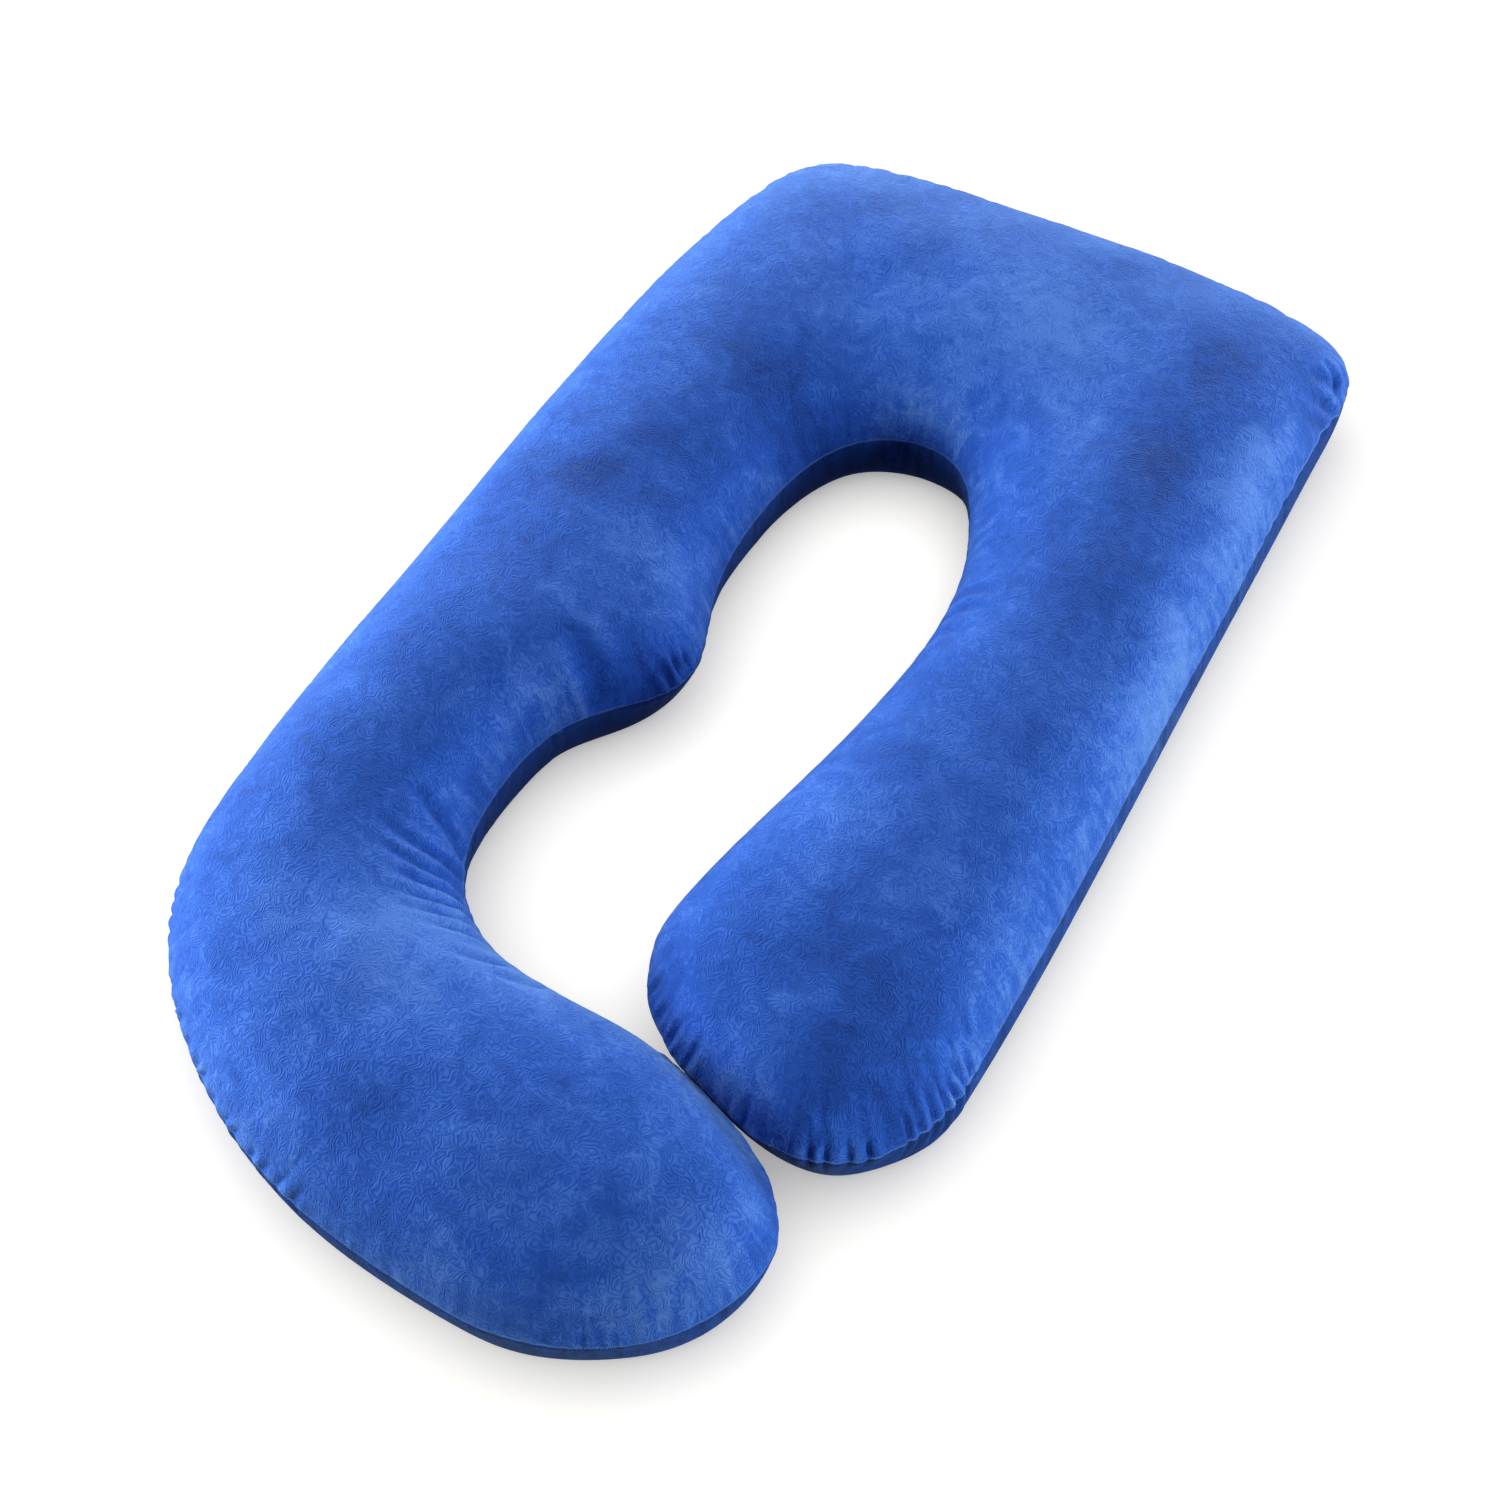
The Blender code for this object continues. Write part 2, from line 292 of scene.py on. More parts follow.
class Skin:
    """The links between a mesh's vertices, for smoothing what varies over it."""

    def __init__(self, mesh: Mesh) -> None:
        """Read the edges of a mesh.

        Args:
            mesh: The mesh.
        """
        pairs = np.empty(len(mesh.edges) * 2, dtype=np.int32)
        mesh.edges.foreach_get("vertices", pairs)
        self.count = len(mesh.vertices)
        self.heads = np.concatenate((pairs[0::2], pairs[1::2]))
        self.tails = np.concatenate((pairs[1::2], pairs[0::2]))
        self.degree = np.maximum(np.bincount(self.heads, minlength=self.count), 1)

    def averaged(self, values: Array) -> Array:
        """Return for each vertex the mean over its neighbours."""
        columns = [
            np.bincount(self.heads, weights=values[self.tails, axis], minlength=self.count)
            for axis in range(values.shape[1])
        ]
        return np.stack(columns, axis=1) / self.degree[:, None]

    def relaxed(self, values: Array, rounds: int, held: Array) -> Array:
        """Return values smoothed over the mesh.

        Args:
            values: One row of numbers for each vertex.
            rounds: How often they are averaged.
            held: 1 where a vertex keeps its value and 0 where it is free.

        Returns:
            The smoothed rows.
        """
        share = 0.5 * (1.0 - held)[:, None]
        for _ in range(rounds):
            values = values + share * (self.averaged(values) - values)
        return values


class Seam:
    """The line where the two panels meet, with the pillow on its left."""

    def __init__(self, line: Array) -> None:
        """Measure a closed line of points.

        Args:
            line: Rows of x, y and z.
        """
        self.line = line
        ahead = (np.roll(line, -1, axis=0) - np.roll(line, 1, axis=0))[:, :2]
        along = closed_smooth(ahead / row_lengths(ahead)[:, None], 60)
        along /= row_lengths(along)[:, None]
        self.inward = np.stack((-along[:, 1], along[:, 0]), axis=1)
        steps = row_lengths(np.roll(line, -1, axis=0) - line)
        self.places = summed(steps)[:-1]
        self.length = float(steps.sum())

    def place_of(self, x: float, y: float) -> float:
        """Return how far along the seam the place nearest to a point in millimetres is."""
        gaps = row_lengths(self.line[:, :2] - np.array((x, y)) / MM)
        return float(self.places[int(gaps.argmin())])


@dataclass
class PillowCover:
    """The velvet cover, its filling and its one seam.

    Sizes are in metres, and the two ends of the tuck in millimetres. Rows of
    the band run beside the seam at the stated arc distances, up the crown and
    down the wall beneath. Bands give their start and their width.
    """

    name: str = "pillow_cover"
    node: str = "pillow"
    body: str = "root"
    slot: str = "velvet"
    fill: float = 0.85
    merge: float = 0.00001
    seam_height: float = 0.085
    seam_tolerance: float = 0.0001
    join_angle: float = 60.0
    spacing: float = 0.0042
    fine_spacing: float = 0.0026
    fine_places: tuple[Place, ...] = (
        (0.240, -0.400, 0.200), (-0.190, -0.640, 0.170), (-0.080, -0.090, 0.080),
    )
    look_in: float = 0.055
    look_height: float = 0.062
    look_angles: int = 72
    top_rows: tuple[float, ...] = (
        0.0013, 0.0028, 0.0046, 0.0068, 0.0094, 0.0124, 0.0158, 0.0196, 0.0238,
        0.0282, 0.0328, 0.0376, 0.0426, 0.0478, 0.0532, 0.0588, 0.0646, 0.0706,
    )
    wall_rows: tuple[float, ...] = (
        0.0013, 0.0028, 0.0048, 0.0075, 0.0110, 0.0155, 0.0210, 0.0275, 0.0350,
        0.0430, 0.0515, 0.0600, 0.0690, 0.0785, 0.0885, 0.0995, 0.1130,
    )
    crown_pitch: float = 0.0046
    base_pitch: float = 0.0150
    base_rise: float = -0.2
    seed: int = 100
    fold_spreads: tuple[Pair, ...] = ((-1.0, 1.0), (-1.0, 0.6), (-0.8, 0.8))
    ridge_power: float = 0.7
    ridge_level: float = 0.62
    fade_start: float = 0.15
    sewn_share: float = 0.40
    sewn_reach: float = 0.008
    crease_steps: int = 25
    crease_start: float = 0.12
    crease_end: Pair = (0.25, 0.75)
    shoulder: float = 0.45
    lump_size: float = 0.085
    lump_height: float = 0.0034
    lump_band: Pair = (0.01, 0.10)
    drift_size: float = 0.045
    drift: float = 0.016
    resting: float = 0.002
    quality: int = 4
    pressure: float = 4.0
    growth: float = 0.02
    growth_band: Pair = (0.01, 0.07)
    frames: int = 20
    motion_limit: float = 0.022
    kept_swell: float = 0.04
    kept_folds: float = 0.20
    inland_band: Pair = (0.03, 0.07)
    swell_rounds: int = 30
    seam_sink: float = 0.0020
    seam_width: float = 0.0016
    seam_power: float = 1.3
    touch_start: Pair = (0.115, -0.424)
    touch_end: Pair = (0.228, -0.468)
    touch_reach: float = 0.110
    touch_gap: float = 0.016
    touch_left: float = 0.0010
    touch_floor: float = 0.02
    touch_gain: float = 1.4
    scallop: float = 0.55
    tuck: float = 0.012
    tuck_reach: float = 0.060
    tuck_fade: Pair = (0.88, 0.12)
    tuck_start: Pair = (381.0, 230.0)
    tuck_end: Pair = (378.0, 610.0)

    def build(self) -> Object:
        """Make the whole cover.

        Returns:
            The finished piece.
        """
        guide = self.guide_mesh()
        surface = BVHTree.FromPolygons(
            [vertex.co for vertex in guide.vertices],
            [polygon.vertices for polygon in guide.polygons],
        )
        seam = Seam(self.seam_line(guide))
        LOG.info("seam: %d places over %.3f m", len(seam.line), seam.length)
        piece = self.sewn_panels(seam, surface)
        bpy.data.meshes.remove(guide)
        self.fill_out(piece)
        self.lay_folds(piece.data, seam)
        self.press_together(piece.data)
        self.tuck_corner(piece.data, seam)
        self.draw_seam_in(piece.data)
        self.rest_on_floor(piece.data)
        piece.data.shade_smooth()
        return piece

    def guide_mesh(self) -> Mesh:
        """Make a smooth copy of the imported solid, creased along the seam.

        Returns:
            The copy, with its seam edges marked.
        """
        shell = bmesh.new()
        shell.from_mesh(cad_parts[self.node].data)
        bmesh.ops.remove_doubles(shell, verts=shell.verts, dist=self.merge)
        crease = shell.edges.layers.float.new("crease_edge")
        for edge in shell.edges:
            if self.on_seam(edge):
                edge[crease] = 1.0
                edge.seam = True
        standing = [
            face for face in shell.faces if any(vertex.co.z > self.merge for vertex in face.verts)
        ]
        angle = math.radians(self.join_angle)
        bmesh.ops.join_triangles(
            shell, faces=standing, cmp_seam=True,
            angle_face_threshold=angle, angle_shape_threshold=angle,
        )
        mesh = bpy.data.meshes.new("guide")
        shell.to_mesh(mesh)
        shell.free()
        guide = bpy.data.objects.new("guide", mesh)
        bpy.context.scene.collection.objects.link(guide)
        select_only(guide)
        smoothing = guide.modifiers.new("smoothing", "SUBSURF")
        smoothing.levels = smoothing.render_levels = 2
        bpy.ops.object.modifier_apply(modifier=smoothing.name)
        bpy.data.objects.remove(guide)
        return mesh

    def on_seam(self, edge: bmesh.types.BMEdge) -> bool:
        """Tell whether an edge parts the upper faces from the lower ones.

        Args:
            edge: An edge of the solid.

        Returns:
            Whether it is on the seam.
        """
        if any(abs(vertex.co.z - self.seam_height) > self.seam_tolerance for vertex in edge.verts):
            return False
        heights = [face.calc_center_median().z - self.seam_height for face in edge.link_faces]
        return min(heights) < 0.0 < max(heights)

    def seam_line(self, guide: Mesh) -> Array:
        """Return the seam as a closed line of points.

        Args:
            guide: The smooth guide, whose seam edges are marked.

        Returns:
            Rows of x, y and z that keep the pillow on their left.
        """
        links: dict[int, list[int]] = {}
        for edge in guide.edges:
            if edge.use_seam:
                first, last = edge.vertices
                links.setdefault(first, []).append(last)
                links.setdefault(last, []).append(first)
        order = [min(links)]
        ahead = links[order[0]][:1]
        while ahead and ahead[0] != order[0]:
            order += ahead
            ahead = [index for index in links[order[-1]] if index != order[-2]][:1]
        line = np.array([guide.vertices[index].co for index in order])
        x, y = line[:, 0], line[:, 1]
        if np.sum(x * np.roll(y, -1) - np.roll(x, -1) * y) < 0.0:
            line = line[::-1]
        return self.respaced(line)

    def respaced(self, line: Array) -> Array:
        """Space a closed line's points anew, closer at the gathered end.

        Args:
            line: Rows of x, y and z.

        Returns:
            The new rows, smoothed.
        """
        closed = np.vstack((line, line[:1]))
        steps = row_lengths(np.diff(closed, axis=0))
        places = summed(steps)
        near = np.zeros(len(closed))
        for x, y, reach in self.fine_places:
            away = row_lengths(closed[:, :2] - np.array((x, y)))
            near = np.maximum(near, 1.0 - eased((away - reach) / self.spacing / 20.0))
        density = 1.0 / (self.spacing + (self.fine_spacing - self.spacing) * near)
        middles = (density[1:] + density[:-1]) / 2.0
        counted = summed(middles * steps)
        total = int(round(counted[-1]))
        wanted = np.interp(np.arange(total) * counted[-1] / total, counted, places)
        columns = [np.interp(wanted, places, closed[:, axis]) for axis in range(3)]
        spaced = closed_smooth(np.stack(columns, axis=1), 2)
        spaced[:, 2] = self.seam_height
        return spaced

    def sewn_panels(self, seam: Seam, surface: BVHTree) -> Object:
        """Lay both panels over the guide and sew them along the seam.

        Args:
            seam: The line that they share.
            surface: The guide, to drop points onto.

        Returns:
            An object with the closed cover and its attributes.
        """
        top, wall = self.bands(seam, surface)
        crown, crown_faces = self.filled(top[-1], self.crown_pitch)
        base, base_faces = self.filled(wall[-1], self.base_pitch)
        crown = np.array([self.dropped(surface, point) for point in crown]).reshape(-1, 3)
        base[:, 2] = 0.0
        count = len(seam.line)
        rows = [seam.line, *top, *wall, crown, base]
        points = np.vstack(rows)
        starts = summed([len(row) for row in rows]).astype(int)
        faces = []
        here, ahead = np.arange(count), np.roll(np.arange(count), -1)
        for turn, first, last in ((1, 1, len(top)), (-1, 1 + len(top), len(top) + len(wall))):
            near = 0
            for far in starts[first:last + 1]:
                quads = np.stack((here + near, ahead + near, ahead + far, here + far), axis=1)
                faces += quads[:, ::turn].tolist()
                near = far
        fills = (
            (crown_faces, starts[len(top)], starts[-3], 1),
            (base_faces, starts[len(top) + len(wall)], starts[-2], -1),
        )
        for triangles, rim_start, inner_start, turn in fills:
            corners = np.array(triangles)
            corners += np.where(corners < count, rim_start, inner_start - count)
            faces += corners[:, ::turn].tolist()
        mesh = bpy.data.meshes.new(self.name)
        mesh.from_pydata(points.tolist(), [], faces)
        mesh.validate()
        self.mark_places(mesh, seam, len(top), len(wall), len(crown))
        piece = bpy.data.objects.new(self.name, mesh)
        bpy.context.scene.collection.objects.link(piece)
        LOG.info("panels: %d points, %d faces", len(points), len(faces))
        return piece

    def bands(self, seam: Seam, surface: BVHTree) -> tuple[list[Array], list[Array]]:
        """Return the rows of points that run beside the seam.

        Args:
            seam: The seam line.
            surface: The guide surface.

        Returns:
            The rows up the top panel and the rows down the bottom panel.
        """
        angles = np.linspace(-math.pi / 2.0, math.pi / 2.0, self.look_angles)
        top = np.empty((len(self.top_rows), len(seam.line), 3))
        wall = np.empty((len(self.wall_rows), len(seam.line), 3))
        seam_angle = math.atan2(self.seam_height - self.look_height, self.look_in)
        rise = Vector((0.0, 0.0, 1.0))
        for index, (point, inward) in enumerate(zip(seam.line, seam.inward)):
            out = Vector((-inward[0], -inward[1], 0.0))
            origin = Vector(point) - out * self.look_in
            origin.z = self.look_height
            for side, rows, distances in (
                (Side.TOP, top, self.top_rows),
                (Side.BOTTOM, wall, self.wall_rows),
            ):
                profile = [np.array(point)]
                beyond = [a for a in angles if side.value * (a - seam_angle) > 0.01]
                for angle in sorted(beyond, reverse=side is Side.BOTTOM):
                    ray = out * math.cos(angle) + rise * math.sin(angle)
                    hit = surface.ray_cast(origin, ray)[0]
                    if hit is not None:
                        profile.append(np.array(hit))
                line = np.array(profile)
                places = summed(row_lengths(np.diff(line, axis=0)))
                wanted = np.array(distances) * min(1.0, places[-1] / distances[-1])
                for axis in range(3):
                    rows[:, index, axis] = np.interp(wanted, places, line[:, axis])
        wall[-1, :, 2] = 0.0
        return list(top), list(wall)

    def filled(self, rim: Array, pitch: float) -> tuple[Array, list[list[int]]]:
        """Fill the inside of a closed rim with even triangles.

        Args:
            rim: The rim's points, in order.
            pitch: How far apart the new points are.

        Returns:
            The new points, and triangles that count the rim's points first.
        """
        near = search_tree(rim * (1.0, 1.0, 0.0))
        x, y = rim[:, 0], rim[:, 1]
        next_x, next_y = np.roll(x, -1), np.roll(y, -1)
        inner = []
        row_step = pitch * math.sqrt(3.0) / 2.0
        for row in range(int((y.max() - y.min()) / row_step)):
            level = y.min() + (row + 0.5) * row_step
            crossing = (y > level) != (next_y > level)
            slope = (level - y[crossing]) / (next_y[crossing] - y[crossing])
            cuts = np.sort(x[crossing] + slope * (next_x[crossing] - x[crossing]))
            shift = pitch / 2.0 * (row % 2)
            for start, end in zip(cuts[0::2], cuts[1::2]):
                first = math.ceil((start - shift) / pitch)
                last = math.floor((end - shift) / pitch)
                for step in range(first, last + 1):
                    place = (step * pitch + shift, level, 0.0)
                    if near.find(place)[2] > 0.6 * pitch:
                        inner.append(place)
        flat = [Vector((px, py)) for px, py in zip(x, y)]
        flat += [Vector(place[:2]) for place in inner]
        made = geometry.delaunay_2d_cdt(flat, [], [list(range(len(rim)))], 1, 1e-7)
        source = [min(origins) for origins in made[3]]
        triangles = [[source[corner] for corner in face] for face in made[2]]
        return np.array(inner), triangles

    def dropped(self, surface: BVHTree, point: Array) -> Vector:
        """Return the place on the top of the guide above a point."""
        hit = surface.ray_cast(Vector((point[0], point[1], 1.0)), Vector((0.0, 0.0, -1.0)))[0]
        return hit if hit is not None else Vector(point)

    def mark_places(self, mesh: Mesh, seam: Seam, top: int, wall: int, crown: int) -> None:
        """Write how far each vertex is along the seam and up from it.

        Args:
            mesh: The cover.
            seam: The seam line.
            top: How many rows the band has above the seam.
            wall: How many it has beneath.
            crown: How many points fill the top panel inside the band.
        """
        count = len(seam.line)
        points = mesh_points(mesh)
        along = np.zeros(len(points))
        rise = np.full(len(points), self.base_rise)
        first = (1 + top + wall) * count
        rises = (0.0, *self.top_rows, *(-distance for distance in self.wall_rows))
        along[:first] = np.tile(seam.places, 1 + top + wall)
        rise[:first] = np.repeat(rises, count)
        near = search_tree(points[top * count:(top + 1) * count])
        for row in range(first, first + crown):
            _, index, gap = near.find(points[row])
            along[row] = seam.places[index]
            rise[row] = self.top_rows[-1] + gap
        self.write(mesh, "along", along)
        self.write(mesh, "rise", rise)

    def read(self, mesh: Mesh, name: str) -> Array:
        """Return one of the cover's attributes."""
        return fetched(mesh.attributes[name].data, "value", 1)[:, 0]

    def write(self, mesh: Mesh, name: str, values: Array) -> None:
        """Write an attribute of the cover, which is added where it is new."""
        layer = mesh.attributes.get(name) or mesh.attributes.new(name, "FLOAT", "POINT")
        layer.data.foreach_set("value", values.astype(np.float32))

    def brushed_pile_and_painted_light(self, points: Array) -> Array:
        """Lay the patches of the pile's lie and of painted light and shade.

        Args:
            points: Places on the cover.

        Returns:
            How much paler each place is.
        """
        drift = [noise.noise_vector(Vector(point) / self.drift_size) for point in points]
        places = (points + self.drift * np.array(drift))[:, :2]
        tone = np.zeros(len(points))
        for mark in map(NapAndLightMark._make, NAP_AND_LIGHT_MARKS):
            away = places - np.array((mark.x, mark.y)) / MM
            heading = math.radians(mark.heading)
            ahead = away @ (math.cos(heading), math.sin(heading)) / (mark.length / MM)
            aside = away @ (-math.sin(heading), math.cos(heading)) / (mark.width / MM)
            tone += mark.tone * np.exp(-ahead ** 2 - aside ** 2)
        return tone

    def lay_folds(self, mesh: Mesh, seam: Seam) -> None:
        """Push gathers, creases and lumps into the cover.

        Args:
            mesh: The cover.
            seam: The seam line.
        """
        points = mesh_points(mesh)
        along, rise = self.read(mesh, "along"), self.read(mesh, "rise")
        relief = np.zeros(len(points))
        for number, run in enumerate(map(GatherRun._make, GATHERS)):
            relief += self.gathers(run, seam, along, rise, number)
        top = rise > 0.0
        for crease in map(Crease._make, CREASES):
            relief[top] += self.trough(crease, points[top])
        lumps = self.lumps(points) * eased(rise, *self.lump_band)
        # The relief is kept as an attribute; the velvet paints shade into its troughs and highlights
        # on its ridges.
        self.write(mesh, "fold", relief)
        self.write(mesh, "nap", self.brushed_pile_and_painted_light(points))
        moved = points + mesh_normals(mesh) * (relief + lumps)[:, None]
        count = len(seam.line)
        moved[:count, 2] -= self.scallop * relief[:count]
        move_points(mesh, moved)

    def gathers(
        self, run: GatherRun, seam: Seam, along: Array, rise: Array, number: int
    ) -> Array:
        """Return how far one run of gathers lifts each vertex.

        Args:
            run: The run.
            seam: The seam line.
            along: Each vertex's place along the seam.
            rise: Its distance above the seam, or below it where negative.
            number: The run's number, which seeds its unevenness.

        Returns:
            Heights along the normals, in metres.
        """
        dice = random.Random(self.seed + number)
        pitch, height, reach = run.pitch / MM, run.height / MM, run.reach / MM
        start = seam.place_of(run.first_x, run.first_y)
        span = (seam.place_of(run.last_x, run.last_y) - start) % seam.length
        part = (along - run.lean * np.abs(rise) - start) % seam.length
        folds = max(2, round(span / pitch))
        widths, heights, reaches = (
            np.array([1.0 + run.unevenness * dice.uniform(*spread) for _ in range(folds)])
            for spread in self.fold_spreads
        )
        valleys = summed(widths) / widths.sum() * span
        phase = np.interp(part, valleys, np.arange(folds + 1.0))
        fold = np.minimum(phase.astype(int), folds - 1)
        ridge = np.sin(np.pi * (phase - fold)) ** self.ridge_power - self.ridge_level
        ends = eased(part / pitch) * eased((span - part) / pitch)
        away, reach = np.abs(rise), reach * reaches[fold]
        full, sewn = self.fade_start, self.sewn_share
        fade = 1.0 - eased(away, full * reach, (1.0 - full) * reach)
        grow = sewn + (1.0 - sewn) * eased(away / self.sewn_reach)
        share = np.where(rise < 0.0, run.under, 1.0)
        inside = part < span
        return height * heights[fold] * ridge * ends * fade * grow * share * inside

    def trough(self, crease: Crease, points: Array) -> Array:
        """Return how far one crease lifts or sinks each point.

        Args:
            crease: The crease.
            points: Places on the top panel.

        Returns:
            Heights in metres, negative in the trough.
        """
        start = np.array((crease.start_x, crease.start_y)) / MM
        run = np.array((crease.end_x, crease.end_y)) / MM - start
        left = np.array((-run[1], run[0])) / np.linalg.norm(run)
        shares = np.linspace(0.0, 1.0, self.crease_steps)
        path = start + shares[:, None] * run
        path += (4.0 * shares * (1.0 - shares))[:, None] * (crease.bend / MM) * left
        gaps = row_lengths(points[:, None, :2] - path[None])
        nearest = gaps.argmin(axis=1)
        gap = gaps[np.arange(len(points)), nearest] / (crease.width / MM)
        share = shares[nearest]
        taper = eased(share / self.crease_start + 0.35) * (1.0 - eased(share, *self.crease_end))
        valley = -np.exp(-gap ** 2)
        shoulder = self.shoulder * np.exp(-((gap - 1.9) ** 2) / 0.8)
        return crease.depth / MM * taper * (valley + shoulder)

    def lumps(self, points: Array) -> Array:
        """Return the height of the filling's soft lumps at each point."""
        heights = [noise.noise(Vector(point) / self.lump_size) for point in points]
        return self.lump_height * np.array(heights)

    def fill_out(self, piece: Object) -> None:
        """Let the filling press the cover out by cloth simulation.

        The seam and the underside are held. The slow swell is mostly taken
        back, so the form stays, and folds remain chiefly beside the seam.

        Args:
            piece: The cover.
        """
        mesh = piece.data
        before = mesh_points(mesh)
        rise = self.read(mesh, "rise")
        held = (np.abs(rise) < self.merge) | (before[:, 2] < self.resting)
        pins = piece.vertex_groups.new(name="held")
        pins.add(np.flatnonzero(held).tolist(), 1.0, "REPLACE")
        grown = piece.vertex_groups.new(name="grown")
        weights = 1.0 - eased(np.abs(rise), *self.growth_band)
        for level in range(1, 11):
            chosen = np.flatnonzero(np.round(weights * 10.0) == level)
            grown.add(chosen.tolist(), level / 10.0, "REPLACE")
        filling = piece.modifiers.new("filling", "CLOTH")
        cloth = filling.settings
        cloth.quality = self.quality
        cloth.effector_weights.gravity = 0.0
        cloth.vertex_group_mass = pins.name
        cloth.use_pressure = True
        cloth.uniform_pressure_force = self.pressure
        cloth.shrink_min = 0.0
        cloth.shrink_max = -self.growth
        cloth.vertex_group_shrink = grown.name
        filling.point_cache.frame_start = 1
        filling.point_cache.frame_end = self.frames
        select_only(piece)
        for number in range(1, self.frames + 1):
            bpy.context.scene.frame_set(number)
        bpy.ops.object.modifier_apply(modifier=filling.name)
        piece.vertex_groups.clear()
        motion = mesh_points(mesh) - before
        lengths = np.maximum(row_lengths(motion), self.merge)
        motion *= np.minimum(1.0, self.motion_limit / lengths)[:, None]
        swell = Skin(mesh).relaxed(motion, self.swell_rounds, held.astype(float))
        sizes = [np.percentile(row_lengths(part), 99) * MM for part in (swell, motion - swell)]
        LOG.info("filling: swell %.1f mm, folds %.1f mm", *sizes)
        inland = eased(np.abs(rise), *self.inland_band)[:, None]
        folds = (motion - swell) * (1.0 - (1.0 - self.kept_folds) * inland)
        move_points(mesh, before + folds + self.kept_swell * swell)

    def press_together(self, mesh: Mesh) -> None:
        """Let the hook and the end of the arm swell until they nearly touch.

        Args:
            mesh: The cover.
        """
        points = mesh_points(mesh)
        start, end = np.array(self.touch_start), np.array(self.touch_end)
        run = (end - start) / np.linalg.norm(end - start)
        away = points[:, :2] - (start + end) / 2.0
        near = (np.abs(away @ run) < self.touch_reach) & (points[:, 2] > self.touch_floor)
        aside = away @ np.array((-run[1], run[0]))
        near &= np.abs(aside) < self.touch_reach / 2.0
        sides = [np.flatnonzero(near & (aside * sign > 0.0)) for sign in (1.0, -1.0)]
        moved = points.copy()
        for here, there in (sides, sides[::-1]):
            others = search_tree(points[there])
            for index in here:
                place, _, gap = others.find(points[index])
                share = eased(np.array((1.0 - gap / self.touch_gap) * self.touch_gain))
                step = 0.5 * float(share) * max(0.0, gap - self.touch_left)
                moved[index] += step * (np.array(place) - points[index]) / max(gap, self.merge)
        move_points(mesh, moved)

    def tuck_corner(self, mesh: Mesh, seam: Seam) -> None:
        """Draw the seam line inboard where the head's corner is tucked; the groove, the painted seam
        highlight and the wall's painted shade move with it.

        Args:
            mesh: The cover.
            seam: The seam line.
        """
        along, rise = self.read(mesh, "along"), self.read(mesh, "rise")
        start = seam.place_of(*self.tuck_start)
        span = (seam.place_of(*self.tuck_end) - start) % seam.length
        part = (along - start) % seam.length / span
        shift = self.tuck * eased(part / 0.7) * (1.0 - eased(part, *self.tuck_fade))
        shift *= 1.0 - eased(np.abs(rise) / self.tuck_reach)
        self.write(mesh, "rise", rise - shift)

    def draw_seam_in(self, mesh: Mesh) -> None:
        """Pull the seam and the cloth beside it in to a narrow groove.

        Args:
            mesh: The cover.
        """
        points = mesh_points(mesh)
        rise = np.abs(self.read(mesh, "rise"))
        depth = self.seam_sink * np.exp(-((rise / self.seam_width) ** self.seam_power))
        move_points(mesh, points - mesh_normals(mesh) * depth[:, None])

    def rest_on_floor(self, mesh: Mesh) -> None:
        """Keep the cover on the floor and flat where it touches."""
        move_points(mesh, np.maximum(mesh_points(mesh), (-np.inf, -np.inf, 0.0)))

    def fit(self, piece: Object) -> None:
        """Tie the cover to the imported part.

        Args:
            piece: The cover.
        """
        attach(piece, self.body)
        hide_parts(self.node)


class Channel:
    """A number that varies over a surface, with arithmetic that adds nodes."""

    def __init__(self, wiring: "Wiring", socket: NodeSocket) -> None:
        """Wrap an output socket."""
        self.wiring = wiring
        self.socket = socket

    def math(self, operation: str, *others: "Channel | float") -> "Channel":
        """Return the result of a Math node on this channel and others."""
        return self.wiring.number(operation, self, *others)

    def __add__(self, other: "Channel | float") -> "Channel":
        """Return the sum."""
        return self.math("ADD", other)

    __radd__ = __add__

    def __mul__(self, other: "Channel | float") -> "Channel":
        """Return the product."""
        return self.math("MULTIPLY", other)

    __rmul__ = __mul__

    def __sub__(self, other: "Channel | float") -> "Channel":
        """Return this channel less the other."""
        return self.math("SUBTRACT", other)

    def __rsub__(self, other: "Channel | float") -> "Channel":
        """Return the other less this channel."""
        return self.wiring.number("SUBTRACT", other, self)

    def held(self) -> "Channel":
        """Return the channel held between 0 and 1."""
        return self.math("MAXIMUM", 0.0).math("MINIMUM", 1.0)

    def ramp(self, low: float, high: float) -> "Channel":
        """Return 0 below low, 1 above high and an eased step between."""
        return self.wiring.node(
            "MapRange",
            {"interpolation_type": "SMOOTHSTEP"},
            {"Value": self, "From Min": low, "From Max": high},
        )


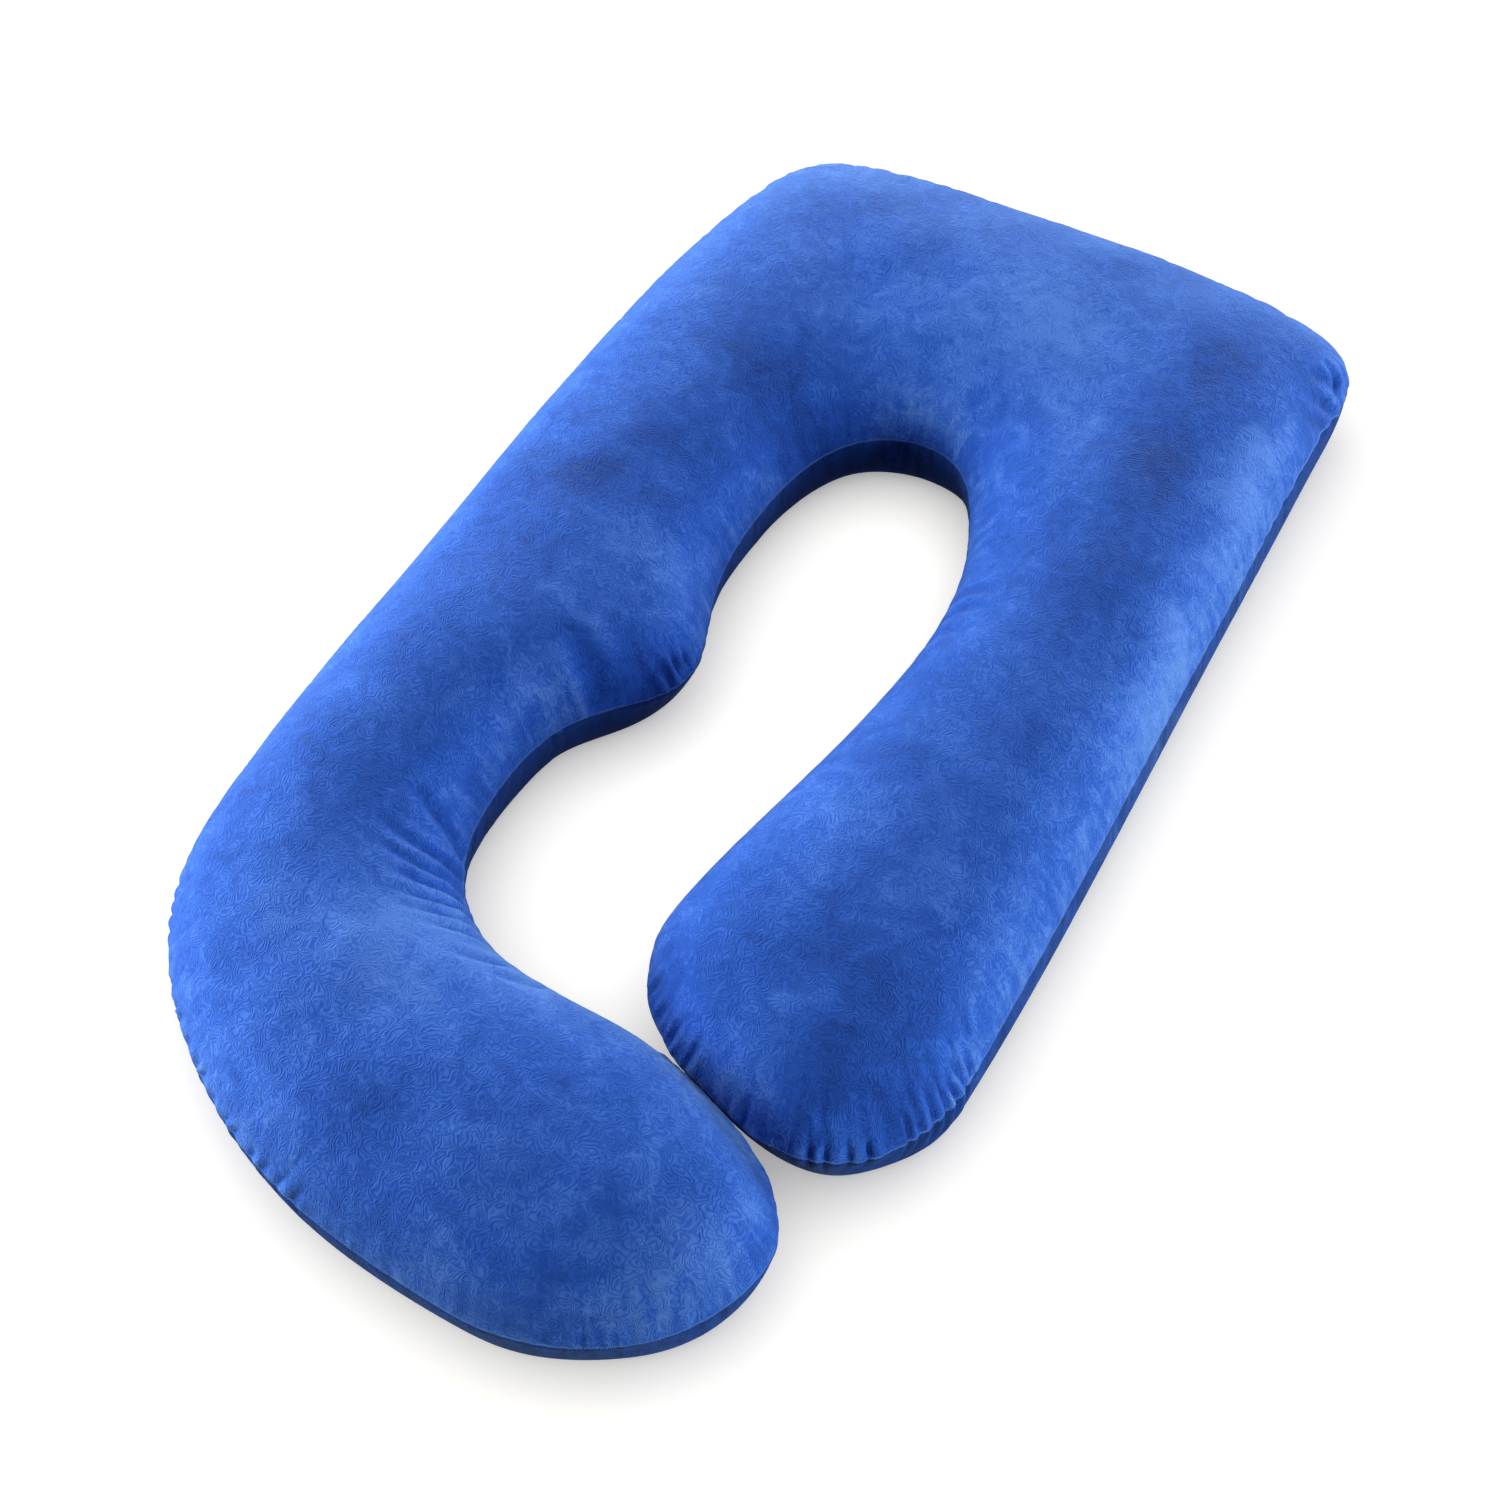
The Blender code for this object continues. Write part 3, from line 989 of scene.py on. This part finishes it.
class Wiring:
    """The node tree of a material or of the surroundings."""

    def __init__(self, owner: Material | World) -> None:
        """Start with an empty tree.

        Args:
            owner: What the tree belongs to.
        """
        owner.use_nodes = True
        self.owner = owner
        self.tree = owner.node_tree
        self.tree.nodes.clear()

    def place(self, kind: str, settings: Values, sockets: Values) -> Node:
        """Add a node.

        Args:
            kind: The node's type, less its first word.
            settings: Its properties, set first.
            sockets: What its inputs hold or are linked to.

        Returns:
            The node.
        """
        node = self.tree.nodes.new(f"ShaderNode{kind}")
        for key, value in settings.items():
            setattr(node, key, value)
        for key, value in sockets.items():
            if isinstance(value, Channel):
                self.tree.links.new(value.socket, node.inputs[key])
            else:
                node.inputs[key].default_value = value
        return node

    def node(
        self, kind: str, settings: Values, sockets: Values, output: str | int = 0
    ) -> Channel:
        """Add a node and return one of its outputs as a channel."""
        return Channel(self, self.place(kind, settings, sockets).outputs[output])

    def number(self, operation: str, *values: "Channel | float") -> Channel:
        """Add a Math node on one to three numbers."""
        return self.node("Math", {"operation": operation}, dict(enumerate(values)))

    def noise(self, at: Channel, **sockets: float) -> Channel:
        """Add a noise that varies about 0, with its sockets given by name."""
        return self.node("TexNoise", {}, {"Vector": at, **sockets}) - 0.5

    def mix(self, share: "Channel | float", low: Any, high: Any) -> Channel:
        """Mix two colours."""
        settings = {"data_type": "RGBA", "clamp_factor": True}
        return self.node("Mix", settings, {0: share, 6: low, 7: high}, 2)

    def attribute(self, name: str) -> Channel:
        """Read an attribute of the mesh."""
        return self.node("Attribute", {"attribute_name": name}, {}, "Fac")

    def end(self, shader: Node) -> Material | World:
        """Send a shader to the output.

        Args:
            shader: The shader's node.

        Returns:
            The tree's owner.
        """
        kind = "World" if isinstance(self.owner, World) else "Material"
        output = self.place(f"Output{kind}", {}, {})
        self.tree.links.new(shader.outputs[0], output.inputs["Surface"])
        return self.owner


@dataclass(frozen=True)
class Velvet:
    """Blue velvet with a short pile that lies in cloudy patches, with painted shade below the seam and
    painted sheen and highlight beside it.
    """

    name: str = "blue_velvet"
    deep: Colour = (0.004, 0.042, 0.275, 1.0)
    blue: Colour = (0.016, 0.098, 0.515, 1.0)
    pale: Colour = (0.080, 0.220, 0.735, 1.0)
    # Painted sheen: a greyer pale blue that takes the place of the pale tone beside the seam.
    rim: Colour = (0.092, 0.232, 0.650, 1.0)
    # Painted highlight: the thin pale line where light catches the seam's edge.
    seam_highlight: Colour = (0.090, 0.220, 0.640, 1.0)
    roughness: float = 0.86
    sheen: float = 0.50
    sheen_roughness: float = 0.38
    sheen_tint: Colour = (0.29, 0.55, 0.86, 1.0)
    specular: float = 0.18
    cloud_scale: float = 8.5
    smoke_scale: float = 27.0
    curl_scale: float = 75.0
    curl: float = 9.0
    first_lines: Place = (120.0, 70.0, 60.0)
    second_lines: Place = (-60.0, 125.0, -70.0)
    pile_scale: float = 900.0
    cloud_tone: float = 0.6
    smoke_tone: float = 0.85
    mark_tone: float = 0.12
    pile_tone: float = 0.18
    # Painted shade on the bottom panel below the seam: its dark colour, how much of it is mixed in,
    # and the sheen and gloss of its shaded copy of the velvet.
    under: Colour = (0.003, 0.020, 0.115, 1.0)
    painted_wall_shade: float = 0.74
    shaded_copy_sheen: float = 0.10
    bump_height: float = 0.0007

    def material(self) -> Material:
        """Build the material.

        Returns:
            The velvet.
        """
        wires = Wiring(bpy.data.materials.new(self.name))
        place = wires.node("TexCoord", {}, {}, "Object")
        rise, fold, along, nap = map(wires.attribute, ("rise", "fold", "along", "nap"))
        near = rise.math("ABSOLUTE")

        clouds = wires.noise(
            place, Scale=self.cloud_scale, Detail=5.0, Roughness=0.58, Distortion=0.9
        )
        smoke = wires.noise(
            place, Scale=self.smoke_scale, Detail=5.0, Roughness=0.62, Distortion=1.4
        )
        flow = wires.node("CombineXYZ", {}, {"X": along * 95.0, "Y": rise * 14.0})
        brushed_pile_and_painted_light = wires.noise(flow, Scale=1.0, Detail=3.0, Roughness=0.6, Distortion=0.6)
        beside = 1.0 - near.ramp(0.020, 0.100)
        marks = self.strokes(wires, place)
        pile = wires.noise(place, Scale=self.pile_scale, Detail=2.0, Roughness=0.6)

        # The listed patches: partly the pile's lie, partly painted light and shade.
        tone = 0.5 + nap + clouds * self.cloud_tone + smoke * self.smoke_tone
        tone = tone + brushed_pile_and_painted_light * beside * 0.9 + marks * self.mark_tone
        # Pile grain, and painted shade and highlight from the fold relief: darker in the troughs,
        # paler on the ridges.
        tone = tone + pile * self.pile_tone + fold * 70.0
        low = wires.mix((tone * 2.0).held(), self.deep, self.blue)
        # Beside the seam the pale tone turns greyer: painted sheen along the edges.
        high = wires.mix(beside, self.pale, self.rim)
        colour = wires.mix((tone * 2.0 - 1.0).held(), low, high)
        # A thin pale line along the seam: painted highlight of the light on the seam's edge.
        seam_highlight_mask = 1.0 - near.ramp(0.0006, 0.0021)
        colour = wires.mix(seam_highlight_mask * 0.8, colour, self.seam_highlight)
        # Painted shade: the bottom panel below the seam is darkened, in ripples along the seam.
        below = (rise * -400.0).held()
        rippled_painted_shade = (self.painted_wall_shade + brushed_pile_and_painted_light * 1.3).held()
        colour = wires.mix(below * rippled_painted_shade, colour, self.under)

        height = marks * 0.25 + pile * 0.5 + smoke * 1.3
        height = height + brushed_pile_and_painted_light * beside * 1.1
        relief = {"Height": height, "Distance": self.bump_height, "Strength": 0.9}
        sockets = {
            "Base Color": colour,
            "Roughness": self.roughness + smoke * 0.10,
            "Specular IOR Level": self.specular,
            "Sheen Weight": self.sheen,
            "Sheen Roughness": self.sheen_roughness,
            "Sheen Tint": self.sheen_tint,
            "Normal": wires.node("Bump", {}, relief),
        }
        top = wires.node("BsdfPrincipled", {}, sockets)
        # The bottom panel gets a shaded copy of the velvet with little sheen and gloss, which paints
        # shade on the wall.
        sockets |= {"Sheen Weight": self.shaded_copy_sheen, "Specular IOR Level": self.shaded_copy_sheen}
        bottom = wires.node("BsdfPrincipled", {}, sockets)
        panels = {0: below, 1: top, 2: bottom}
        return wires.end(wires.place("MixShader", {}, panels))

    def strokes(self, wires: Wiring, place: Channel) -> Channel:
        """Return the short curled strokes that the tips of the pile make.

        Two sets of wavy lines cross, and patches of one break up the other.

        Args:
            wires: The material's tree.
            place: Where on the piece.

        Returns:
            A number between -1 and 1.
        """
        sockets = {"Vector": place, "Scale": self.curl_scale, "Detail": 0.6, "Distortion": 0.5}
        swirl = wires.node("TexNoise", {}, sockets, "Color")
        dot = {"operation": "DOT_PRODUCT"}
        sets = []
        for output, heading in (("X", self.first_lines), ("Y", self.second_lines)):
            bend = wires.node("SeparateXYZ", {}, {0: swirl}, output) * self.curl
            run = wires.node("VectorMath", dot, {0: place, 1: heading}, "Value")
            sets.append(((bend + run) * math.tau).math("SINE"))
        patch = wires.node("SeparateXYZ", {}, {0: swirl}, "Z").ramp(0.47, 0.53)
        return sets[0] * patch + sets[1] * (1.0 - patch)


@dataclass(frozen=True)
class FloorPaint:
    """Matt white paint of the studio floor."""

    name: str = "studio_white"
    colour: Colour = (0.91, 0.893, 0.84, 1.0)
    roughness: float = 0.9
    glow: float = 0.30

    def material(self) -> Material:
        """Build the material.

        Returns:
            The paint.
        """
        wires = Wiring(bpy.data.materials.new(self.name))
        sockets = {
            "Base Color": self.colour,
            "Roughness": self.roughness,
            "Emission Color": WHITE,
            "Emission Strength": self.glow,
        }
        return wires.end(wires.place("BsdfPrincipled", {}, sockets))


class Lamp(NamedTuple):
    """A square soft light: its place, its size and power, and what it points at.

    Falls on says which of the floor and the piece it lights.
    """

    name: str
    place: Place
    size: float
    power: float
    falls_on: str
    aim: Place = (0.0, 0.0, 0.0)


@dataclass
class Studio:
    """The floor, the soft light and the camera."""

    floor_size: float = 30.0
    sky_strength: float = 0.09
    under_strength: float = 0.02
    sky_start: float = -0.05
    sky_end: float = 0.30
    lamps: tuple[Lamp, ...] = (
        Lamp("left", (-2.91, 0.0, 0.75), 1.3, 115.0, "piece"),
        Lamp("front left", (-2.38, -1.67, 0.75), 1.3, 90.0, "piece"),
        Lamp("back left", (-1.45, 2.52, 0.75), 1.3, 60.0, "piece"),
        Lamp("back right", (1.45, 2.52, 0.75), 1.3, 65.0, "piece"),
        Lamp("right", (2.87, -0.50, 0.75), 1.3, 75.0, "piece"),
        Lamp("ceiling", (-0.6, -1.0, 3.0), 7.0, 250.0, "floor", (-0.6, -1.0, 0.0)),
    )
    camera_place: Place = (0.60665, -1.15664, 1.7272)
    camera_turns: Place = (36.1, 0.0, 28.56)
    camera_lens: float = 50.376

    def build(self, piece: Object) -> None:
        """Make the floor, the light and the camera round a piece.

        Args:
            piece: The piece.
        """
        floor = self.lay_floor()
        self.light({"piece": piece, "floor": floor})
        self.set_camera()

    def lay_floor(self) -> Object:
        """Lay the floor that the pillow rests on.

        Returns:
            The floor.
        """
        bpy.ops.object.select_all(action="DESELECT")
        bpy.ops.mesh.primitive_plane_add(size=self.floor_size)
        floor = bpy.context.object
        floor.name = "studio_floor"
        floor.data.materials.append(FloorPaint().material())
        floor.visible_diffuse = False
        return floor

    def light(self, lit: dict[str, Object]) -> None:
        """Hang the lamps and light the surroundings evenly.

        Args:
            lit: The floor and the piece, by the names that the lamps use.
        """
        scene = bpy.context.scene
        groups = {}
        for name, piece in lit.items():
            groups[name] = bpy.data.collections.new(f"lit_{name}")
            groups[name].objects.link(piece)
        wires = Wiring(bpy.data.worlds.new("surroundings"))
        facing = wires.node("TexCoord", {}, {}, "Generated")
        height = wires.node("SeparateXYZ", {}, {0: facing}, "Z")
        strength = wires.node("MapRange", {}, {
            "Value": height,
            "From Min": self.sky_start,
            "From Max": self.sky_end,
            "To Min": self.under_strength,
            "To Max": self.sky_strength,
        })
        sky = {"Color": WHITE, "Strength": strength}
        scene.world = wires.end(wires.place("Background", {}, sky))
        for lamp in self.lamps:
            data = bpy.data.lights.new(lamp.name, "AREA")
            data.size = lamp.size
            data.energy = lamp.power
            hung = bpy.data.objects.new(lamp.name, data)
            hung.location = lamp.place
            ray = Vector(lamp.aim) - hung.location
            hung.rotation_euler = ray.to_track_quat("-Z", "Y").to_euler()
            scene.collection.objects.link(hung)
            hung.light_linking.receiver_collection = groups[lamp.falls_on]
        scene.view_settings.view_transform = "Standard"

    def set_camera(self) -> None:
        """Stand the camera where the pillow is seen from above its hook end."""
        camera = bpy.data.objects.new("camera", bpy.data.cameras.new("camera"))
        camera.data.lens = self.camera_lens
        camera.location = self.camera_place
        camera.rotation_euler = [math.radians(turn) for turn in self.camera_turns]
        bpy.context.scene.collection.objects.link(camera)
        bpy.context.scene.camera = camera


def main() -> None:
    """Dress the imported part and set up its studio."""
    logging.basicConfig(level=logging.INFO, format="%(name)s: %(message)s")
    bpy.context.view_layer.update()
    cover = PillowCover()
    piece = cover.build()
    piece.data.materials.append(Velvet().material())
    cover.fit(piece)
    Studio().build(piece)
    LOG.info("%s: %d triangles", piece.name, sum(len(p.vertices) - 2 for p in piece.data.polygons))


if __name__ == "__main__":
    main()
